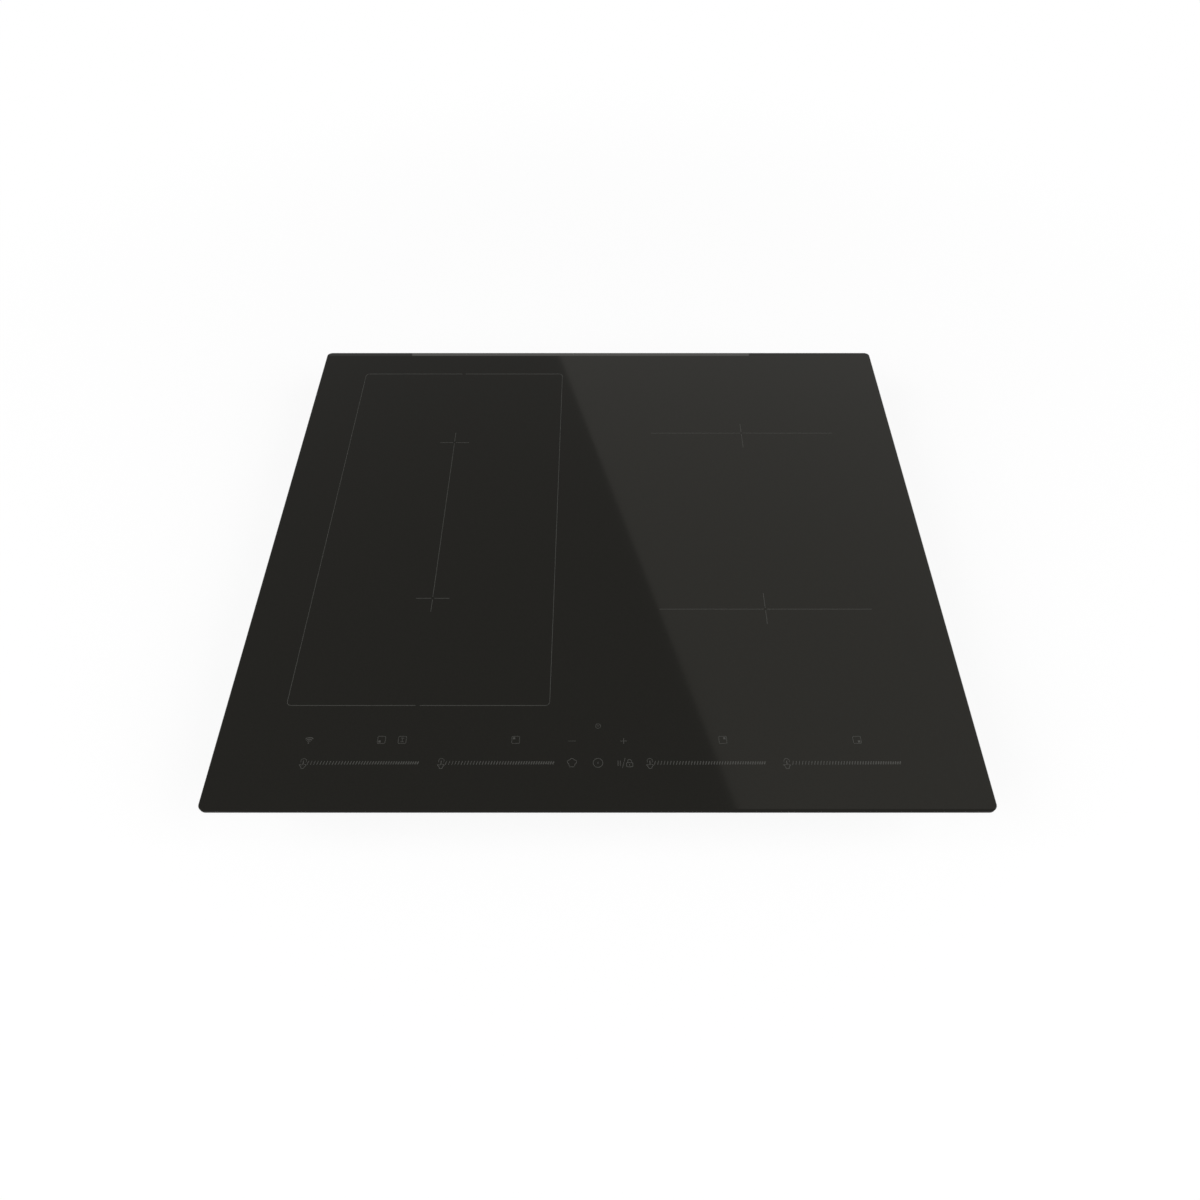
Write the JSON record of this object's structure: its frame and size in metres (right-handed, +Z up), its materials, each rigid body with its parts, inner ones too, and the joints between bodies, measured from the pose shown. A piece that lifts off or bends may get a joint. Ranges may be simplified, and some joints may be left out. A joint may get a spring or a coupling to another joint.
{
  "type": "induction cooktop",
  "caption": "Built-in induction cooktop: bevelled black glass over a stepped steel tray with sprung coils, power boards, cooling fans, swivelling fixing brackets and a hinged terminal cover.",
  "frame": {"origin": "under the centre of the glass, on the plane of the tray's base", "axes": "+X to the user's right, +Y towards the back, +Z up; the touch controls face -Y"},
  "size_m": [0.59, 0.52, 0.058],
  "materials": {
    "glass_ceramic": "polished black glass ceramic",
    "sealing_foam": "closed-cell foam",
    "silicone": "cured silicone",
    "zinc_steel": "zinc-coated sheet, fine spangle",
    "bracket_steel": "zinc-plated strap",
    "screw_steel": "zinc-plated",
    "spring_steel": "bright spring wire",
    "lamination_steel": "stacked laminations",
    "deck_aluminium": "mill finish",
    "sink_aluminium": "extruded, mill finish",
    "mica": "pressed mica board",
    "ferrite": "sintered, matt",
    "litz_copper": "enamelled litz wire",
    "bronze": "bare",
    "former_moulding": "glass-filled moulding",
    "black_moulding": "fine-grained moulding",
    "fan_moulding": "satin moulding",
    "pale_nylon": "natural moulding",
    "grey_plastic": "boxed film capacitor",
    "choke_enamel": "powder-coated ring core",
    "black_epoxy": "moulded package",
    "circuit_board": "solder resist",
    "light_guide": "clear moulding"
  },
  "bodies": {
    "hob": {"glass_top": "glass_ceramic", "worktop_seal": "sealing_foam", "glass_adhesive": "silicone", "support_frame": "zinc_steel", "base_tray": "zinc_steel", "case_screws": "screw_steel", "coil_deck": "deck_aluminium", "deck_posts": "screw_steel", "guide_studs": "screw_steel", "heat_sensors": "silicone", "insulating_discs": "mica", "board_spacers": "pale_nylon", "power_transistors": "black_epoxy", "film_capacitors": "grey_plastic", "filter_chokes": "choke_enamel", "shaft_bearings": "bronze", "motor_stators": "lamination_steel", "terminal_box": "black_moulding", "terminal_block": "pale_nylon", "terminal_screws": "bronze", "cable_clamp": "black_moulding", "touch_board": "circuit_board", "touch_board_carrier": "black_moulding", "light_guides": "light_guide", "radio_module": "zinc_steel", "bracket_screws": "screw_steel", "coil_springs_rear_left": "spring_steel", "coil_springs_front_left": "spring_steel", "coil_springs_rear_right": "spring_steel", "coil_springs_front_right": "spring_steel", "power_board_left": "circuit_board", "heat_sink_left": "sink_aluminium", "blower_housing_left": "black_moulding", "blower_cover_left": "black_moulding", "power_board_right": "circuit_board", "heat_sink_right": "sink_aluminium", "blower_housing_right": "black_moulding", "blower_cover_right": "black_moulding"},
    "coil_rear_left": {"coil_carrier_rear_left": "former_moulding", "ferrite_bars_rear_left": "ferrite", "coil_winding_rear_left": "litz_copper"},
    "coil_front_left": {"coil_carrier_front_left": "former_moulding", "ferrite_bars_front_left": "ferrite", "coil_winding_front_left": "litz_copper"},
    "coil_rear_right": {"coil_carrier_rear_right": "former_moulding", "ferrite_bars_rear_right": "ferrite", "coil_winding_rear_right": "litz_copper"},
    "coil_front_right": {"coil_carrier_front_right": "former_moulding", "ferrite_bars_front_right": "ferrite", "coil_winding_front_right": "litz_copper"},
    "fan_left": {"impeller_left": "fan_moulding", "impeller_shaft_left": "screw_steel"},
    "fan_right": {"impeller_right": "fan_moulding", "impeller_shaft_right": "screw_steel"},
    "bracket_front_left": {"fixing_bracket_front_left": "bracket_steel"},
    "bracket_front_right": {"fixing_bracket_front_right": "bracket_steel"},
    "bracket_rear_left": {"fixing_bracket_rear_left": "bracket_steel"},
    "bracket_rear_right": {"fixing_bracket_rear_right": "bracket_steel"},
    "terminal_lid": {"terminal_cover": "black_moulding"}
  },
  "joints": [
    {"name": "coil_float_rear_left", "type": "slide", "parent": "hob", "child": "coil_rear_left", "axis": [0, 0, 1], "range_m": [-0.003, 0], "stiffness_N_per_m": 2000, "springref_m": 0.006, "deforming": ["coil_springs_rear_left"]},
    {"name": "coil_float_front_left", "type": "slide", "parent": "hob", "child": "coil_front_left", "axis": [0, 0, 1], "range_m": [-0.003, 0], "stiffness_N_per_m": 2000, "springref_m": 0.006, "deforming": ["coil_springs_front_left"]},
    {"name": "coil_float_rear_right", "type": "slide", "parent": "hob", "child": "coil_rear_right", "axis": [0, 0, 1], "range_m": [-0.003, 0], "stiffness_N_per_m": 2000, "springref_m": 0.006, "deforming": ["coil_springs_rear_right"]},
    {"name": "coil_float_front_right", "type": "slide", "parent": "hob", "child": "coil_front_right", "axis": [0, 0, 1], "range_m": [-0.003, 0], "stiffness_N_per_m": 2000, "springref_m": 0.006, "deforming": ["coil_springs_front_right"]},
    {"name": "fan_spin_left", "type": "hinge", "parent": "hob", "child": "fan_left", "pos_m": [-0.13, 0.125, 0.015], "axis": [0, 0, 1], "continuous": true},
    {"name": "fan_spin_right", "type": "hinge", "parent": "hob", "child": "fan_right", "pos_m": [0.13, 0.125, 0.015], "axis": [0, 0, 1], "continuous": true},
    {"name": "bracket_swing_front_left", "type": "hinge", "parent": "hob", "child": "bracket_front_left", "pos_m": [-0.26, -0.15, 0.0187], "axis": [0, 0, 1], "range_deg": [0, 90]},
    {"name": "bracket_swing_front_right", "type": "hinge", "parent": "hob", "child": "bracket_front_right", "pos_m": [0.26, -0.15, 0.0187], "axis": [0, 0, -1], "range_deg": [0, 90]},
    {"name": "bracket_swing_rear_left", "type": "hinge", "parent": "hob", "child": "bracket_rear_left", "pos_m": [-0.26, 0.15, 0.0187], "axis": [0, 0, -1], "range_deg": [0, 90]},
    {"name": "bracket_swing_rear_right", "type": "hinge", "parent": "hob", "child": "bracket_rear_right", "pos_m": [0.26, 0.15, 0.0187], "axis": [0, 0, 1], "range_deg": [0, 90]},
    {"name": "terminal_lid_hinge", "type": "hinge", "parent": "hob", "child": "terminal_lid", "pos_m": [0.168, 0.1805, 0.0025], "axis": [-1, 0, 0], "range_deg": [0, 95]}
  ]
}
